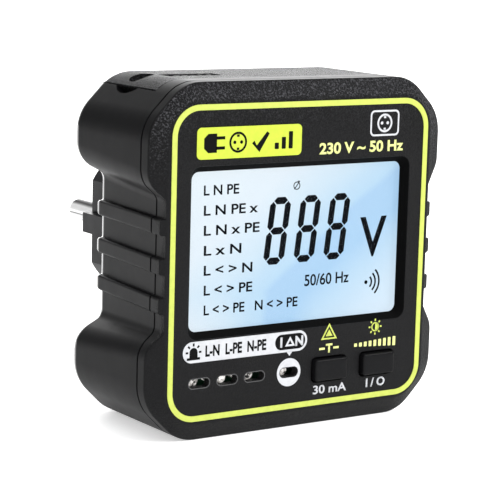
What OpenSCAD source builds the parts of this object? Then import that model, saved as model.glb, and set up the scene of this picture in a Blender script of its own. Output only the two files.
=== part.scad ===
// Digital socket tester with an earthed two-pin plug on its back.
// Inside the modules X runs to the right, Y from the panel to the back and Z up, with zero at the
// centre of the front panel. on_base() then stands the tester on its flat bottom, with the origin
// under the middle of its bounding box.

/* [Housing] */
// Width of the housing over its corner bulges
body_w = 72; // [71.5:0.1:73]
// Height of the housing
body_h = 72.2; // [72:0.1:73.4]
// Depth from the front panel to the back wall
body_d = 31.4; // [31.2:0.1:33]
// Leg of the bevel cut across each of the four corners
corner_cut = 8.2; // [8:0.1:8.5]
// Radius that rounds both ends of a corner's bevel
corner_r = 9; // [8.6:0.1:9.4]
// Thickness of the case walls
wall = 2; // [1.8:0.1:2.1]
// Distance of the case seam behind the panel
seam_y = 4.4; // [4.2:0.1:4.6]
// How far the waist is set in at the front
waist_front = 3.4; // [3.2:0.1:3.5]
// How far the waist is set in at the back
waist_back = 6.4; // [6:0.1:6.6]
// Half the height of the waist's flat floor at the front
waist_half = 13.2; // [13:0.1:13.4]
// How much further the floor reaches up and down at the back
waist_spread = 1.9; // [1.7:0.1:2]
// Distance between the grip ribs
rib_pitch = 7.85; // [7.7:0.05:7.9]
// Height of one grip rib
rib_h = 3.4; // [3.2:0.1:3.5]
// How far a rib stands out of the waist floor
rib_out = 1.15; // [0.9:0.05:1.3]

/* [Panel] */
// Width of the accent ring
ring_w = 63.3; // [63:0.1:63.6]
// Height of the accent ring
ring_h = 63.6; // [63.3:0.1:63.9]
// Width of the ring's band
ring_band = 1.15; // [1:0.05:1.3]
// Outer corner radius of the ring
ring_r = 6.3; // [6:0.1:6.6]
// Width of the display window
window_w = 51.8; // [51:0.1:52]
// Height of the display window
window_h = 32.2; // [31.8:0.1:32.4]
// Height of the window's centre over the panel's centre
window_z = 2.2; // [2:0.1:2.4]
// Width of a button cap
button_w = 8.4; // [8.2:0.1:8.6]
// Height of a button cap
button_h = 4.8; // [4.6:0.1:5]
// How far a button cap stands out of the panel
button_out = 1.2; // [1:0.05:1.4]
// Travel of a button
button_travel = 0.5; // [0.3:0.05:0.5]

/* [Plug] */
// Diameter of a plug pin
pin_d = 4.8; // [4.7:0.05:4.85]
// Length of a plug pin outside the plug base
pin_len = 19; // [18.5:0.1:19.5]
// Distance between the two pins
pin_pitch = 19; // [18.8:0.1:19.2]
// Radius of the plug base
base_r = 18.5; // [18.3:0.1:18.7]
// Half the width of the plug base over its two flat sides
base_flat = 16; // [15.8:0.1:16.2]
// Length of the plug base behind the housing
base_len = 27.6; // [26:0.1:28]
// Height of the guide keys on the flat sides
key_h = 4.4; // [4.2:0.1:4.8]

/* [Hidden] */
$fn = 48;
cut = 1;
touch_gap = 0.05;
crossing = 0.02;

// Colours
case_black = [0.17, 0.17, 0.18];
button_black = [0.2, 0.2, 0.21];
signal_yellow = [0.9, 1, 0.35];
board_green = [0.05, 0.35, 0.2];
metal_grey = [0.78, 0.78, 0.8];
spring_brass = [0.8, 0.65, 0.3];

// Housing
bevel_y = 1.7;
face_margin = 0.6;
face_w = ring_w + 2 * face_margin;
face_h = ring_h + 2 * face_margin;
face_r = ring_r + face_margin;
panel_t = 1.8;
back_t = 2.2;
back_inner_y = body_d - back_t;
lip_len = 1.5;
lip_t = 0.95;
lip_gap = 0.05;
waist_angle = atan((waist_back - waist_front) / body_d);
waist_tilt = atan(waist_spread / body_d * cos(waist_angle));
waist_slope = 0.65;
waist_reach = 14;
waist_run = 4;
waist_overlap = 2.5;
// The slope's normal, and the edge where the slope meets the side face
slope_out = waist_slope * cos(waist_angle) - sin(waist_tilt) * sin(waist_angle);
slope_back = waist_slope * sin(waist_angle) + sin(waist_tilt) * cos(waist_angle);
slope_up = cos(waist_tilt);
edge_z = waist_half + waist_front * slope_out / slope_up;
edge_tilt = atan(slope_back / slope_up);
edge_angle = atan(slope_out / (slope_back * sin(edge_tilt) + slope_up * cos(edge_tilt)));
bulge_round = 5;
rib_round = 0.6;

// Case screws: two above the display and two beside the lower bulges
upper_post_x = 25.2;
upper_post_z = 25.6;
lower_post_x = 28.6;
lower_post_z = -20;
post_split_y = 15;
cover_post_r = 2.8;
shell_post_r = 3.5;
case_screw_r = 1.4;
case_hole_r = 1.6;
case_head_r = 2.7;
case_head_t = 2;
cross_slot = [2.8, 1.6, 0.6];
head_well_r = 3;
head_seat_y = body_d - 4;
case_thread_len = 9;
post_places = [
    [-upper_post_x, upper_post_z], [upper_post_x, upper_post_z],
    [-lower_post_x, lower_post_z], [lower_post_x, lower_post_z]
];

// Lanyard eyelet in the upper left corner: a slot from above and a scoop from the side
eye_x = -26.4;
eye_y = 21;
eye_len = 4.8;
eye_w = 4.2;
eye_floor_z = 30.4;
scoop_x = -31.4;
scoop_y = 20.2;
scoop_r = 6.4;
scoop_h = 2;
scoop_depth = 3.6;
lining_low_z = 28.6;
lining_x = [-34, -22.4];
lining_y = [14.3, 26.1];
witness_x = -30;
witness_w = 0.35;
witness_start_y = 9;

// Panel details
ring_inlay = 0.35;
ring_proud = 0.12;
inlay_gap = 0.03;
plate_w = 25;
plate_h = 6.3;
plate_x = -13.5;
plate_z = 24.1;
plate_inlay = 0.25;
plate_r = 1;
window_r = 1.6;
window_slope = 1.3;
led_z = -24.05;
led_slot_w = 4.7;
led_slot_h = 1.75;
led_x = [-24.2, -17.5, -10.9];
leakage_led_x = -2.4;
leakage_slot_w = 4.2;
test_x = 7.8;
light_x = 20.15;
button_z = -24.3;
button_gap = 0.2;
button_r = 0.7;
flange_extra = 0.8;
flange_y = panel_t + 0.1;
flange_t = 0.8;

// Display stack, from the panel back
lens_y = panel_t;
lens_t = 1;
glass_y = lens_y + lens_t + touch_gap;
glass_t = 2;
glass_w = 55;
glass_h = 35.4;
light_y = glass_y + glass_t + touch_gap;
board_y = 8;
board_t = 1.6;
light_t = board_y - light_y - touch_gap;
light_h = 33;
light_drop = 1.2;
strip_h = 1.6;
strip_w = 50;
frame_side = 1.4;
board_w = 58;
board_h = 63;
board_r = 9;
board_back_y = board_y + board_t;
board_post_r = 1.9;
board_post_places = [[-12, 25], [12, 25], [-10, -30.3], [10.5, -30.3]];

// Tact switches
switch_size = 6;
switch_front_y = 4.7;
plunger_r = 1.6;
plunger_front_y = 4;
plunger_len = 2.2;
plunger_gap = 0.06;
stem_r = 1.5;
stem_end_y = plunger_front_y - touch_gap;

// Indicator LEDs
led_r = 1.5;
led_tip_y = 2;
led_rim_r = 1.75;
led_rim_t = 1;

// Power board and what it carries
power_y = 20.4;
power_t = 1.6;
power_w = 52;
power_low_z = -18.5;
power_high_z = 21;
pin_tail_r = 1.5;
tail_start_y = 19.6;

// Plug
base_end_y = body_d + base_len;
pin_tip_y = base_end_y + pin_len;
pin_x = pin_pitch / 2;
pin_r = pin_d / 2;
pin_root_y = 30;
pin_root_r = pin_r - 0.2;
tip_round = 1.3;
base_flange_r = 23;
base_flange_t = 2;
base_flange_y = back_inner_y - base_flange_t;
base_wall = 2.2;
base_face_t = 3;
groove_wall = 1.4;
base_seat_gap = 0.1;
pin_tube_r = 4.6;
key_out = 2.4;
clip_w = 5.4;
clip_t = 0.8;
clip_z = 16.9;
clip_root_y = 34;
clip_end_y = base_end_y - 1.2;
clip_bow = 1.5;
clip_hook = 1.4;
groove_w = 6.2;
groove_floor = 14.2;
groove_start_y = 33;
bridge_y = 24.6;
slot_gap = 0.1;
base_screw_at = 14.6;
base_screw_r = 0.9;
base_screw_head_r = 1.8;
base_screw_head_t = 1.4;

shift_y = -(pin_tip_y - button_out) / 2;

// Placing helpers
module on_base() {
    translate([0, shift_y, body_h / 2]) children();
}

// Extrudes an outline drawn in X and Z from y0 to y1
module along_y(y0, y1) {
    translate([0, y1, 0]) rotate([90, 0, 0]) linear_extrude(y1 - y0) children();
}

module rod_y(x, z, r, y0, y1) {
    translate([x, y0, z]) rotate([-90, 0, 0]) cylinder(r = r, h = y1 - y0);
}

module block(x0, x1, y0, y1, z0, z1) {
    translate([x0, y0, z0]) cube([x1 - x0, y1 - y0, z1 - z0]);
}

module rounded_rect(w, h, r) {
    square([w, h - 2 * r], center = true);
    square([w - 2 * r, h], center = true);
    for (sx = [-1, 1], sz = [-1, 1])
        translate([sx * (w / 2 - r), sz * (h / 2 - r)]) circle(r);
}

// What is cut off a convex corner to round it. The corner is at zero: one edge runs away from it
// at the angle from_a, the other at the angle from_b, and the waste lies between and outside them.
// The circle crosses the edges by a hair, so that it never only touches them.
module corner_waste(r, from_a, from_b) {
    half_turn = 90 - (from_b - from_a) / 2;
    reach = r * tan(half_turn) + 10 * crossing;
    middle = (from_a + from_b) / 2;
    difference() {
        polygon([
            reach * [cos(from_a), sin(from_a)], reach * [cos(from_b), sin(from_b)],
            -cut * [cos(middle), sin(middle)]
        ]);
        translate((r - crossing) / cos(half_turn) * [cos(middle), sin(middle)]) circle(r);
    }
}

// The housing's outline without its waist, moved inwards by inset
module housing_outline(inset) {
    leg = corner_cut - inset * (2 - sqrt(2));
    half_w = body_w / 2 - inset;
    half_h = body_h / 2 - inset;
    difference() {
        square([2 * half_w, 2 * half_h], center = true);
        for (sx = [-1, 1], sz = [-1, 1])
            scale([sx, sz]) {
                polygon([
                    [half_w - leg, half_h], [half_w - leg, half_h + cut],
                    [half_w + cut, half_h + cut], [half_w + cut, half_h - leg],
                    [half_w, half_h - leg]
                ]);
                translate([half_w - leg, half_h]) corner_waste(corner_r - inset, 180, 315);
                translate([half_w, half_h - leg]) corner_waste(corner_r - inset, 135, 270);
            }
    }
}

module slot_outline(w, h) {
    square([w - h, h], center = true);
    for (sx = [-1, 1]) translate([sx * (w - h) / 2, 0]) circle(h / 2);
}

// Middle of the waist on the right side; ribs are left standing in it
module waist_middle(inset, ribs) {
    difference() {
        translate([-inset, -waist_half]) square([waist_reach, 2 * waist_half]);
        if (ribs)
            for (k = [-1:1])
                translate([rib_out / 2 - cut / 2, k * rib_pitch])
                    rounded_rect(rib_out + cut, rib_h, rib_round);
    }
}

// Sloping end of the waist; zero is the corner between its floor and the slope
module waist_end(inset) {
    lift = inset * (1 / cos(atan(waist_slope)) - waist_slope);
    polygon([
        [-inset, -waist_overlap], [-inset, lift],
        [waist_reach - inset, lift + waist_reach * waist_slope],
        [waist_reach - inset, -waist_overlap]
    ]);
}

// The tapering waist cuts on both sides
module waist_cuts(inset, ribs) {
    for (side = [0, 1])
        mirror([side, 0, 0]) {
            translate([body_w / 2 - waist_front, 0, 0]) rotate([0, 0, waist_angle])
                along_y(-waist_run, body_d + waist_run) waist_middle(inset, ribs);
            for (end = [0, 1])
                mirror([0, 0, end]) {
                    translate([body_w / 2 - waist_front, 0, waist_half])
                        rotate([waist_tilt, 0, waist_angle])
                            along_y(-waist_run, body_d + waist_run) waist_end(inset);
                    if (inset == 0)
                        translate([body_w / 2, 0, edge_z]) rotate([edge_tilt, 0, 0])
                            along_y(-waist_run, body_d + waist_run)
                                corner_waste(bulge_round, 90, 180 + edge_angle);
                }
        }
}

module housing_block(y0, y1, inset, ribs) {
    difference() {
        along_y(y0, y1) housing_outline(inset);
        waist_cuts(inset, ribs);
    }
}

// Outline of the accent ring, or of the groove that holds it with a gap all round
module ring_outline(gap) {
    inner = ring_band + gap;
    difference() {
        rounded_rect(ring_w + 2 * gap, ring_h + 2 * gap, ring_r + gap);
        rounded_rect(ring_w - 2 * inner, ring_h - 2 * inner, ring_r - inner);
    }
}

// Front cover
module bevelled_face() {
    difference() {
        hull() {
            along_y(0, 0.01) rounded_rect(face_w, face_h, face_r);
            along_y(bevel_y, seam_y) housing_outline(0);
        }
        waist_cuts(0, true);
    }
}

module window_cut() {
    translate([0, 0, window_z]) hull() {
        along_y(panel_t - 0.01, panel_t + cut) rounded_rect(window_w, window_h, window_r);
        along_y(-0.01, 0)
            rounded_rect(window_w + 2 * window_slope, window_h + 2 * window_slope,
                window_r + window_slope / 2);
    }
}

module cover_lip() {
    difference() {
        housing_block(seam_y - 0.5, seam_y + lip_len, lip_t + lip_gap, false);
        housing_block(seam_y - cut, seam_y + lip_len + cut, wall, false);
    }
}

module front_cover() {
    color(case_black) on_base() difference() {
        union() {
            difference() {
                union() {
                    bevelled_face();
                    cover_lip();
                }
                housing_block(panel_t, seam_y + lip_len + cut, wall, false);
            }
            for (p = post_places) rod_y(p[0], p[1], cover_post_r, panel_t - 0.4, post_split_y);
            for (p = board_post_places) rod_y(p[0], p[1], board_post_r, panel_t - 0.4, board_y);
        }
        window_cut();
        along_y(-cut, ring_inlay) ring_outline(inlay_gap);
        along_y(-cut, plate_inlay)
            translate([plate_x, plate_z])
                rounded_rect(plate_w + 2 * inlay_gap, plate_h + 2 * inlay_gap, plate_r);
        for (x = led_x)
            along_y(-cut, panel_t + cut) translate([x, led_z]) slot_outline(led_slot_w, led_slot_h);
        along_y(-cut, panel_t + cut)
            translate([leakage_led_x, led_z]) slot_outline(leakage_slot_w, led_slot_h);
        for (x = [test_x, light_x])
            along_y(-cut, panel_t + cut)
                translate([x, button_z])
                    rounded_rect(button_w + 2 * button_gap, button_h + 2 * button_gap,
                        button_r + button_gap);
        for (p = post_places)
            rod_y(p[0], p[1], case_screw_r, post_split_y - case_thread_len, post_split_y + cut);
        for (p = board_post_places) rod_y(p[0], p[1], base_screw_r, board_y - 4, board_y + cut);
    }
}

module accent_ring() {
    color(signal_yellow) on_base() along_y(-ring_proud, ring_inlay) ring_outline(0);
}

module name_plate() {
    color(signal_yellow) on_base() along_y(-ring_proud, plate_inlay)
        translate([plate_x, plate_z]) rounded_rect(plate_w, plate_h, plate_r);
}

// Display
module display_window() {
    color([0.85, 0.93, 0.98, 0.3]) on_base() along_y(lens_y, lens_y + lens_t)
        translate([0, window_z]) rounded_rect(glass_w + 1.6, window_h + 4.4, window_r);
}

module lcd_glass() {
    color([0.78, 0.88, 0.95]) on_base() along_y(glass_y, glass_y + glass_t)
        translate([0, window_z]) square([glass_w, glass_h], center = true);
}

module lcd_backlight() {
    color([0.95, 0.97, 1]) on_base() along_y(light_y, light_y + light_t)
        translate([0, window_z - light_drop]) square([glass_w, light_h], center = true);
}

module contact_strip() {
    strip_z = window_z - light_drop + light_h / 2 + 0.1;
    color([0.5, 0.45, 0.55]) on_base()
        block(-strip_w / 2, strip_w / 2, light_y, board_y, strip_z, strip_z + strip_h);
}

module lcd_frame() {
    color([0.9, 0.9, 0.88]) on_base() along_y(glass_y, board_y)
        translate([0, window_z]) difference() {
            square([glass_w + 2 * frame_side, glass_h + 2 * frame_side], center = true);
            square([glass_w + 0.1, glass_h + 0.1], center = true);
        }
}

// Boards
module display_board() {
    color(board_green) on_base() difference() {
        along_y(board_y, board_back_y) rounded_rect(board_w, board_h, board_r);
        for (p = post_places)
            rod_y(p[0], p[1], cover_post_r + 0.2, board_y - cut, board_back_y + cut);
        for (p = board_post_places)
            rod_y(p[0], p[1], base_screw_r + 0.1, board_y - cut, board_back_y + cut);
    }
}

module controller_chip() {
    color([0.1, 0.1, 0.11]) on_base() block(-7, 3, board_back_y, board_back_y + 1.6, -3, 7);
}

module buzzer() {
    color([0.12, 0.12, 0.12]) on_base() difference() {
        rod_y(17, 12, 6, board_back_y, board_back_y + 5);
        rod_y(17, 12, 1, board_back_y + 4, board_back_y + 5 + cut);
    }
}

module tact_switch(x) {
    half = switch_size / 2;
    difference() {
        block(x - half, x + half, switch_front_y, board_y, button_z - half, button_z + half);
        rod_y(x, button_z, plunger_r + plunger_gap, switch_front_y - cut,
            plunger_front_y + plunger_len + button_travel + 0.15);
    }
}

module plunger(x) {
    rod_y(x, button_z, plunger_r, plunger_front_y, plunger_front_y + plunger_len);
}

module button(x) {
    along_y(-button_out, flange_y + 0.1)
        translate([x, button_z]) rounded_rect(button_w, button_h, button_r);
    along_y(flange_y, flange_y + flange_t)
        translate([x, button_z])
            rounded_rect(button_w + 2 * flange_extra, button_h + 2 * flange_extra, button_r);
    rod_y(x, button_z, stem_r, flange_y + flange_t / 2, stem_end_y);
}

module test_switch() {
    color("silver") on_base() tact_switch(test_x);
}

module test_plunger() {
    color("dimgray") on_base() plunger(test_x);
}

module test_button() {
    color(button_black) on_base() button(test_x);
}

module backlight_switch() {
    color("silver") on_base() tact_switch(light_x);
}

module backlight_plunger() {
    color("dimgray") on_base() plunger(light_x);
}

module backlight_button() {
    color(button_black) on_base() button(light_x);
}

module led(x) {
    translate([x, led_tip_y + led_r, led_z]) sphere(r = led_r);
    rod_y(x, led_z, led_r, led_tip_y + led_r, board_y);
    rod_y(x, led_z, led_rim_r, board_y - led_rim_t, board_y);
}

module indicator_leds() {
    color([0.95, 0.93, 0.9]) on_base() for (x = led_x) led(x);
}

module leakage_led() {
    color([0.95, 0.9, 0.88]) on_base() led(leakage_led_x);
}

// Rear shell
module eyelet_cuts() {
    translate([eye_x, eye_y, eye_floor_z])
        linear_extrude(body_h / 2 + cut - eye_floor_z) slot_outline(eye_len, eye_w);
    translate([scoop_x, scoop_y, body_w / 2 + body_h / 2 - corner_cut + scoop_x])
        rotate([0, -45, 0]) translate([0, 0, -scoop_depth])
            linear_extrude(scoop_depth + cut) intersection() {
                translate([scoop_r, 0]) circle(scoop_r);
                translate([0, -scoop_r]) square([scoop_h, 2 * scoop_r]);
            }
}

module eyelet_lining() {
    intersection() {
        block(lining_x[0], lining_x[1], lining_y[0], lining_y[1], lining_low_z, body_h / 2);
        housing_block(seam_y + lip_len, body_d, 0.2, false);
    }
}

module witness_line() {
    translate([witness_x, 0, body_w / 2 + body_h / 2 - corner_cut + witness_x])
        rotate([0, -45, 0])
            block(-witness_w / 2, witness_w / 2, witness_start_y, body_d + cut, -witness_w, cut);
}

module rear_shell() {
    color(case_black) on_base() difference() {
        union() {
            difference() {
                housing_block(seam_y, body_d, 0, true);
                housing_block(seam_y - cut, back_inner_y, wall, false);
                housing_block(seam_y - cut, seam_y + lip_len + lip_gap, lip_t, false);
            }
            for (p = post_places)
                rod_y(p[0], p[1], shell_post_r, post_split_y + touch_gap, back_inner_y + 0.4);
            eyelet_lining();
        }
        for (p = post_places) {
            rod_y(p[0], p[1], case_hole_r, post_split_y - cut, body_d + cut);
            rod_y(p[0], p[1], head_well_r, head_seat_y, body_d + cut);
        }
        rod_y(0, 0, base_r + base_seat_gap, back_inner_y - cut, body_d + cut);
        for (sx = [-1, 1], sz = [-1, 1])
            rod_y(sx * base_screw_at, sz * base_screw_at, base_screw_r, back_inner_y - cut,
                back_inner_y + 1.7);
        eyelet_cuts();
        witness_line();
    }
}

module rating_label() {
    color([0.55, 0.56, 0.58]) on_base() along_y(body_d, body_d + 0.15)
        translate([0, -body_h / 2 + 9]) rounded_rect(40, 9, 1);
}

// Plug
module base_outline(inset) {
    intersection() {
        circle(base_r - inset, $fn = 96);
        square([2 * (base_flat - inset), 2 * base_r], center = true);
    }
}

module key_outline() {
    for (side = [-1, 1])
        translate([side * (base_flat + key_out / 2 - cut / 2), 0])
            square([key_out + cut, key_h], center = true);
}

module plug_base() {
    color(case_black) on_base() difference() {
        union() {
            rod_y(0, 0, base_flange_r, base_flange_y, back_inner_y);
            along_y(back_inner_y - 0.1, body_d) circle(base_r, $fn = 96);
            along_y(body_d - 0.1, base_end_y) base_outline(0);
            along_y(body_d - 0.1, base_end_y) key_outline();
        }
        difference() {
            along_y(base_flange_y - cut, base_end_y - base_face_t) base_outline(base_wall);
            for (side = [-1, 1])
                rod_y(side * pin_x, 0, pin_tube_r, pin_root_y - 2, base_end_y);
            for (side = [-1, 1])
                block(-groove_w / 2 - groove_wall, groove_w / 2 + groove_wall,
                    base_flange_y - 2 * cut, base_end_y,
                    side > 0 ? groove_floor - groove_wall : -base_r,
                    side > 0 ? base_r : groove_wall - groove_floor);
        }
        for (side = [-1, 1]) {
            rod_y(side * pin_x, 0, pin_root_r, pin_root_y - 2 * cut, base_end_y + cut);
            block(-groove_w / 2, groove_w / 2, groove_start_y, base_end_y + cut,
                side > 0 ? groove_floor : -base_r - cut, side > 0 ? base_r + cut : -groove_floor);
            block(-clip_w / 2 - slot_gap, clip_w / 2 + slot_gap, base_flange_y - cut,
                groove_start_y + cut,
                side > 0 ? clip_z - slot_gap : -clip_z - clip_t - slot_gap,
                side > 0 ? clip_z + clip_t + slot_gap : -clip_z + slot_gap);
        }
        for (sx = [-1, 1], sz = [-1, 1])
            rod_y(sx * base_screw_at, sz * base_screw_at, base_screw_r + 0.1, base_flange_y - cut,
                back_inner_y + 0.2);
    }
}

module pin(side) {
    translate([side * pin_x, 0, 0]) rotate([-90, 0, 0]) rotate_extrude()
        union() {
            translate([0, tail_start_y]) square([pin_tail_r, pin_root_y - tail_start_y]);
            translate([0, pin_root_y]) square([pin_root_r, base_end_y - pin_root_y]);
            translate([0, base_end_y]) square([pin_r, pin_len - tip_round]);
            translate([0, pin_tip_y - tip_round - 0.01])
                square([pin_r - tip_round, tip_round + 0.01]);
            translate([pin_r - tip_round, pin_tip_y - tip_round])
                intersection() {
                    circle(tip_round);
                    square(tip_round);
                }
        }
}

module live_pin() {
    color(metal_grey) on_base() pin(1);
}

module neutral_pin() {
    color(metal_grey) on_base() pin(-1);
}

// Spring strip, drawn in Y and Z: a straight leaf, a shallow bow and a hook over the end face
module clip_outline() {
    bow_half = 7;
    bow_y = 49;
    bow_r = (pow(bow_half, 2) + pow(clip_bow, 2)) / (2 * clip_bow);
    translate([clip_root_y, clip_z]) square([clip_end_y - clip_root_y, clip_t]);
    translate([clip_end_y - clip_t, clip_z - clip_hook])
        square([clip_t, clip_hook]);
    intersection() {
        translate([bow_y, clip_z + clip_t + clip_bow - bow_r]) difference() {
            circle(bow_r, $fn = 96);
            circle(bow_r - clip_t, $fn = 96);
        }
        translate([bow_y - bow_half - 1, clip_z + clip_t / 2]) square([2 * bow_half + 2, 4]);
    }
}

module earth_clip() {
    rotate([90, 0, 90]) translate([0, 0, -clip_w / 2]) linear_extrude(clip_w) clip_outline();
}

module upper_earth_clip() {
    color(metal_grey) on_base() earth_clip();
}

module lower_earth_clip() {
    color(metal_grey) on_base() mirror([0, 0, 1]) earth_clip();
}

module earth_bridge() {
    half = clip_w / 2;
    color(spring_brass) on_base() {
        block(-half, half, bridge_y, bridge_y + clip_t, -clip_z - clip_t, clip_z + clip_t);
        for (side = [0, 1])
            mirror([0, 0, side])
                block(-half, half, bridge_y, clip_root_y - 0.3, clip_z, clip_z + clip_t);
    }
}

// Power side
module power_board() {
    color(board_green) on_base() difference() {
        block(-power_w / 2, power_w / 2, power_y, power_y + power_t, power_low_z, power_high_z);
        for (side = [-1, 1])
            rod_y(side * pin_x, 0, pin_tail_r, power_y - cut, power_y + power_t + cut);
        for (side = [-1, 1])
            rod_y(side * lower_post_x, lower_post_z, shell_post_r + 0.3, power_y - cut,
                power_y + power_t + cut);
    }
}

module board_header() {
    color([0.15, 0.15, 0.15]) on_base() block(-10, 10, board_back_y, power_y, -16.8, -14.3);
}

module filter_capacitor() {
    color([0.85, 0.75, 0.2]) on_base() block(-23, -5, power_y - 9, power_y, -12.5, -4.5);
}

module smoothing_capacitor() {
    color([0.15, 0.2, 0.45]) on_base() rod_y(2, 14.5, 4, power_y - 8.4, power_y);
}

module fuse() {
    color([0.85, 0.85, 0.8]) on_base()
        translate([6.5, power_y - 2.6, 17.4]) rotate([0, 90, 0]) cylinder(r = 2.6, h = 15);
}

module load_resistor() {
    color([0.92, 0.92, 0.88]) on_base() block(0, 22, power_y - 9, power_y, -12.5, -4);
}

module test_relay() {
    color([0.2, 0.35, 0.7]) on_base() block(-23, -9, power_y - 8.6, power_y, 5, 15);
}

module varistor() {
    color([0.2, 0.4, 0.75]) on_base() rod_y(16.5, 6.5, 4.5, power_y - 4, power_y);
}

module sensor_plate() {
    color(spring_brass) on_base()
        block(-11, 11, 11, 27, body_h / 2 - wall - 0.6, body_h / 2 - wall);
}

// Fasteners
module case_screw(x, z) {
    difference() {
        union() {
            rod_y(x, z, case_screw_r, post_split_y - case_thread_len + 0.6, head_seat_y + 0.1);
            rod_y(x, z, case_head_r, head_seat_y, head_seat_y + case_head_t);
        }
        for (turn = [0, 90])
            translate([x, head_seat_y + case_head_t, z]) rotate([0, turn, 0])
                cube(cross_slot, center = true);
    }
}

module small_screw(x, z, seat_y, head_t, tip_y, head_side) {
    rod_y(x, z, base_screw_r, min(seat_y, tip_y), max(seat_y, tip_y));
    rod_y(x, z, base_screw_head_r, head_side > 0 ? seat_y : seat_y - head_t,
        head_side > 0 ? seat_y + head_t : seat_y);
}

module case_screws() {
    color("gray") on_base() for (p = post_places) case_screw(p[0], p[1]);
}

module board_screws() {
    color("silver") on_base() for (p = board_post_places)
        small_screw(p[0], p[1], board_back_y, 1.2, board_y - 3.6, 1);
}

module base_screws() {
    color("silver") on_base() for (sx = [-1, 1], sz = [-1, 1])
        small_screw(sx * base_screw_at, sz * base_screw_at, base_flange_y, base_screw_head_t,
            back_inner_y + 1.6, -1);
}

front_cover();
accent_ring();
name_plate();
display_window();
lcd_glass();
lcd_backlight();
lcd_frame();
contact_strip();
display_board();
controller_chip();
buzzer();
test_switch();
test_plunger();
test_button();
backlight_switch();
backlight_plunger();
backlight_button();
indicator_leds();
leakage_led();
rear_shell();
plug_base();
live_pin();
neutral_pin();
upper_earth_clip();
lower_earth_clip();
earth_bridge();
power_board();
board_header();
filter_capacitor();
smoothing_capacitor();
fuse();
load_resistor();
test_relay();
varistor();
sensor_plate();
case_screws();
board_screws();
base_screws();
rating_label();
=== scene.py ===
"""Looks of the digital socket tester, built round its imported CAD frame."""
import math

import bmesh
import bpy
from mathutils import Matrix, Vector


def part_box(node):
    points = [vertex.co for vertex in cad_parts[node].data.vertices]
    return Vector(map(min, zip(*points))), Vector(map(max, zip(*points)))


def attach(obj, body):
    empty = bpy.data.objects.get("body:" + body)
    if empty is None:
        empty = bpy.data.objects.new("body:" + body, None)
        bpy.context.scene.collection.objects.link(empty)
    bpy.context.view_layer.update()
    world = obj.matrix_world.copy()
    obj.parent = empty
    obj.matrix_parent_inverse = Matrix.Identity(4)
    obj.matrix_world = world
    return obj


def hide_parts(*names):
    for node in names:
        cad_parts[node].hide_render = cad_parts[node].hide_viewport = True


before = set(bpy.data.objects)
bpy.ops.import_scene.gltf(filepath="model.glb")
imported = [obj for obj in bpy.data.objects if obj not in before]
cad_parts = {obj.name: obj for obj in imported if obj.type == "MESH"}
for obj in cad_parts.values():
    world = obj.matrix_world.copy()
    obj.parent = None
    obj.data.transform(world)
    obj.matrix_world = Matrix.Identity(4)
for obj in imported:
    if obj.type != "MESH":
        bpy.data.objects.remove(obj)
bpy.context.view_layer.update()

# ---------------------------------------------------------------------------------------------
# Driving sizes, in millimetres. Places are given in the panel's frame: X to the right, Y from the
# panel plane to the back, Z up from the panel's centre.
MM = 0.001
cover_low, cover_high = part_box("front_cover")
shell_low, shell_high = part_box("rear_shell")
MID_Z = (cover_low.z + cover_high.z) / 2
PANEL_Y = cover_low.y
HALF_W = (cover_high.x - cover_low.x) / 2 / MM
HALF_H = (cover_high.z - cover_low.z) / 2 / MM
BACK_Y = (shell_high.y - PANEL_Y) / MM
SEAM_Y = (shell_low.y - PANEL_Y) / MM
WALL = 2.0
CORNER_CUT = 8.2
CORNER_R = 9.2
WAIST_FRONT = 3.4
WAIST_BACK = 6.4
WAIST_HALF = 13.2
WAIST_SPREAD = 1.9
BULGE_FRONT_Z = 16.5
BULGE_BACK_Z = 18.3
RIB_PITCH = 7.85
RIB_H = 3.4
RIB_OUT = 1.15
RING_MARGIN = 0.6
RING_BAND = 1.15
PANEL_T = 1.8
BACK_T = 2.2
TAPER = (WAIST_BACK - WAIST_FRONT) / BACK_Y
WINDOW_W, WINDOW_H, WINDOW_Z = 25.9, 16.1, 2.2
# Half width and half height of the area round the window that carries no grain and is painted darker as
# shade
RECESS_W, RECESS_H = 28.5, 18.5
# The fine line on the bevel where the smooth side meets the grained top
WITNESS_X, WITNESS_START_Y = -30.0, 9.2
ROOT2 = math.sqrt(2)
HOUSING = "housing"


def at(x, y, z):
    """A point of the panel's frame, in metres in the row's frame."""
    return Vector((x * MM, PANEL_Y + y * MM, MID_Z + z * MM))


def span(node):
    """Lowest and highest corner of a CAD node, in millimetres in the panel's frame."""
    low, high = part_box(node)
    back = lambda p: Vector((p.x / MM, (p.y - PANEL_Y) / MM, (p.z - MID_Z) / MM))
    return back(low), back(high)


# ---------------------------------------------------------------------------------------------
# Materials
def node_tree(name):
    mat = bpy.data.materials.new(name)
    mat.use_nodes = True
    tree = mat.node_tree
    return mat, tree, tree.nodes["Principled BSDF"]


def coords(tree):
    return tree.nodes.new("ShaderNodeTexCoord").outputs["Object"]


def position(tree):
    """X, Y and Z of the shaded point."""
    place = tree.nodes.new("ShaderNodeSeparateXYZ")
    tree.links.new(coords(tree), place.inputs["Vector"])
    return place.outputs


def noise(tree, scale, detail=4.0, roughness=0.6):
    node = tree.nodes.new("ShaderNodeTexNoise")
    node.inputs["Scale"].default_value = scale
    node.inputs["Detail"].default_value = detail
    node.inputs["Roughness"].default_value = roughness
    tree.links.new(coords(tree), node.inputs["Vector"])
    return node.outputs["Fac"]


def ramp(tree, value, stops):
    node = tree.nodes.new("ShaderNodeValToRGB")
    node.color_ramp.elements[0].position = stops[0][0]
    node.color_ramp.elements[0].color = (*stops[0][1], 1)
    node.color_ramp.elements[1].position = stops[-1][0]
    node.color_ramp.elements[1].color = (*stops[-1][1], 1)
    for place, colour in stops[1:-1]:
        node.color_ramp.elements.new(place).color = (*colour, 1)
    tree.links.new(value, node.inputs["Fac"])
    return node.outputs["Color"]


def grey(v):
    return (v, v, v)


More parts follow.
